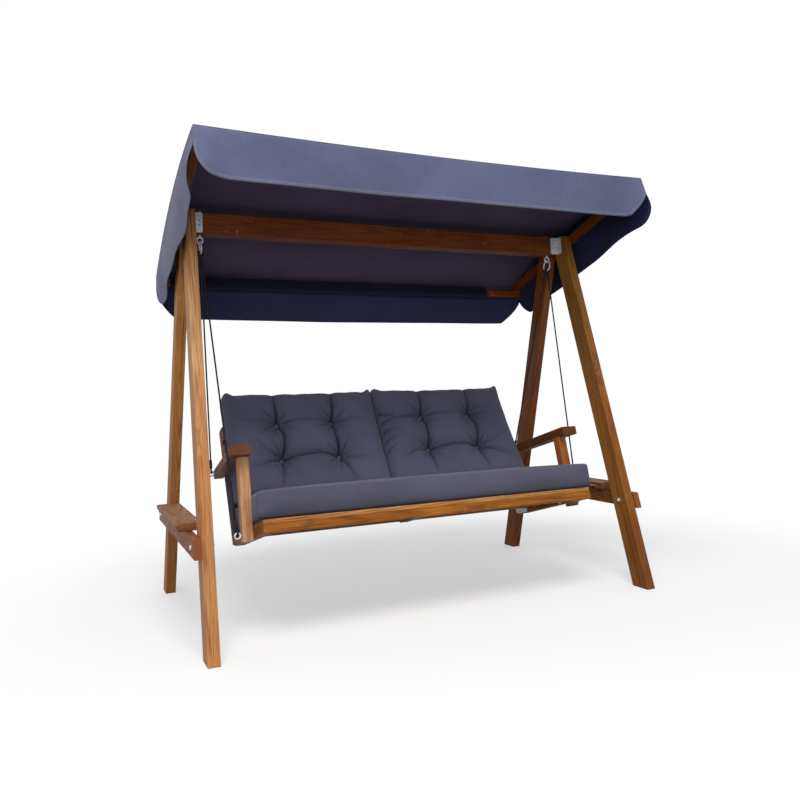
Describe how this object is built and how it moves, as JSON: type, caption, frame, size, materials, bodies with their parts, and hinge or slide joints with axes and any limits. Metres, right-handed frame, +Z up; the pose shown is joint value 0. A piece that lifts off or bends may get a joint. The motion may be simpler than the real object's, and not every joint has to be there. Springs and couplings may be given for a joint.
{
  "type": "garden swing chair",
  "caption": "Wooden garden swing seat with padded cushions, hung on ropes from an A-frame stand under a tilting fabric canopy.",
  "frame": {"origin": "on the ground, under the middle of the whole swing", "axes": "+Z up, +X along the top beam to the right hand of someone facing the seat, -Y towards the open front"},
  "size_m": [2.13, 1.2647, 1.9151],
  "materials": {
    "timber": "satin",
    "canopy_cloth": "matte",
    "cushion_cloth": "matte",
    "rope": "matte",
    "galvanised_steel": "satin"
  },
  "bodies": {
    "stand": {"apex_screws": "galvanised_steel", "beam_angle_brackets": "galvanised_steel", "bracket_screws": "galvanised_steel", "cross_rail_bolts": "galvanised_steel", "cross_rail_nuts": "galvanised_steel", "left_cross_rail": "timber", "left_front_leg": "timber", "left_rear_leg": "timber", "left_tray_board": "timber", "pivot_washers": "galvanised_steel", "rafter_pivot_bolts": "galvanised_steel", "right_cross_rail": "timber", "right_front_leg": "timber", "right_rear_leg": "timber", "right_tray_board": "timber", "swing_eye_bolts": "galvanised_steel", "swing_eye_nuts": "galvanised_steel", "top_beam": "timber", "tray_cleats": "timber", "tray_screws": "galvanised_steel"},
    "canopy": {"batten_screws": "galvanised_steel", "canopy_roof": "canopy_cloth", "front_batten": "timber", "front_valance": "canopy_cloth", "left_rafter": "timber", "left_valance": "canopy_cloth", "rear_batten": "timber", "rear_valance": "canopy_cloth", "right_rafter": "timber", "right_valance": "canopy_cloth"},
    "seat": {"armrest_screws": "galvanised_steel", "back_foot_plates": "galvanised_steel", "back_slats": "timber", "eye_bolt_nuts": "galvanised_steel", "front_eye_bolts": "galvanised_steel", "front_rail": "timber", "hang_rings": "galvanised_steel", "left_armrest": "timber", "left_back_cushion": "cushion_cloth", "left_back_stile": "timber", "left_front_post": "timber", "left_front_rope": "rope", "left_rear_rope": "rope", "left_side_rail": "timber", "middle_back_stile": "timber", "rear_eye_bolts": "galvanised_steel", "rear_rail": "timber", "right_armrest": "timber", "right_back_cushion": "cushion_cloth", "right_back_stile": "timber", "right_front_post": "timber", "right_front_rope": "rope", "right_rear_rope": "rope", "right_side_rail": "timber", "seat_cushion": "cushion_cloth", "seat_frame_screws": "galvanised_steel", "seat_middle_joist": "timber", "seat_slats": "timber", "tuft_buttons": "cushion_cloth"}
  },
  "joints": [
    {"name": "seat_swing", "type": "hinge", "parent": "stand", "child": "seat", "pos_m": [0, 0.028, 1.605], "axis": [1, 0, 0], "range_deg": [-20, 20]},
    {"name": "canopy_tilt", "type": "hinge", "parent": "stand", "child": "canopy", "pos_m": [0, 0.028, 1.687], "axis": [1, 0, 0], "range_deg": [-4, 14]}
  ]
}
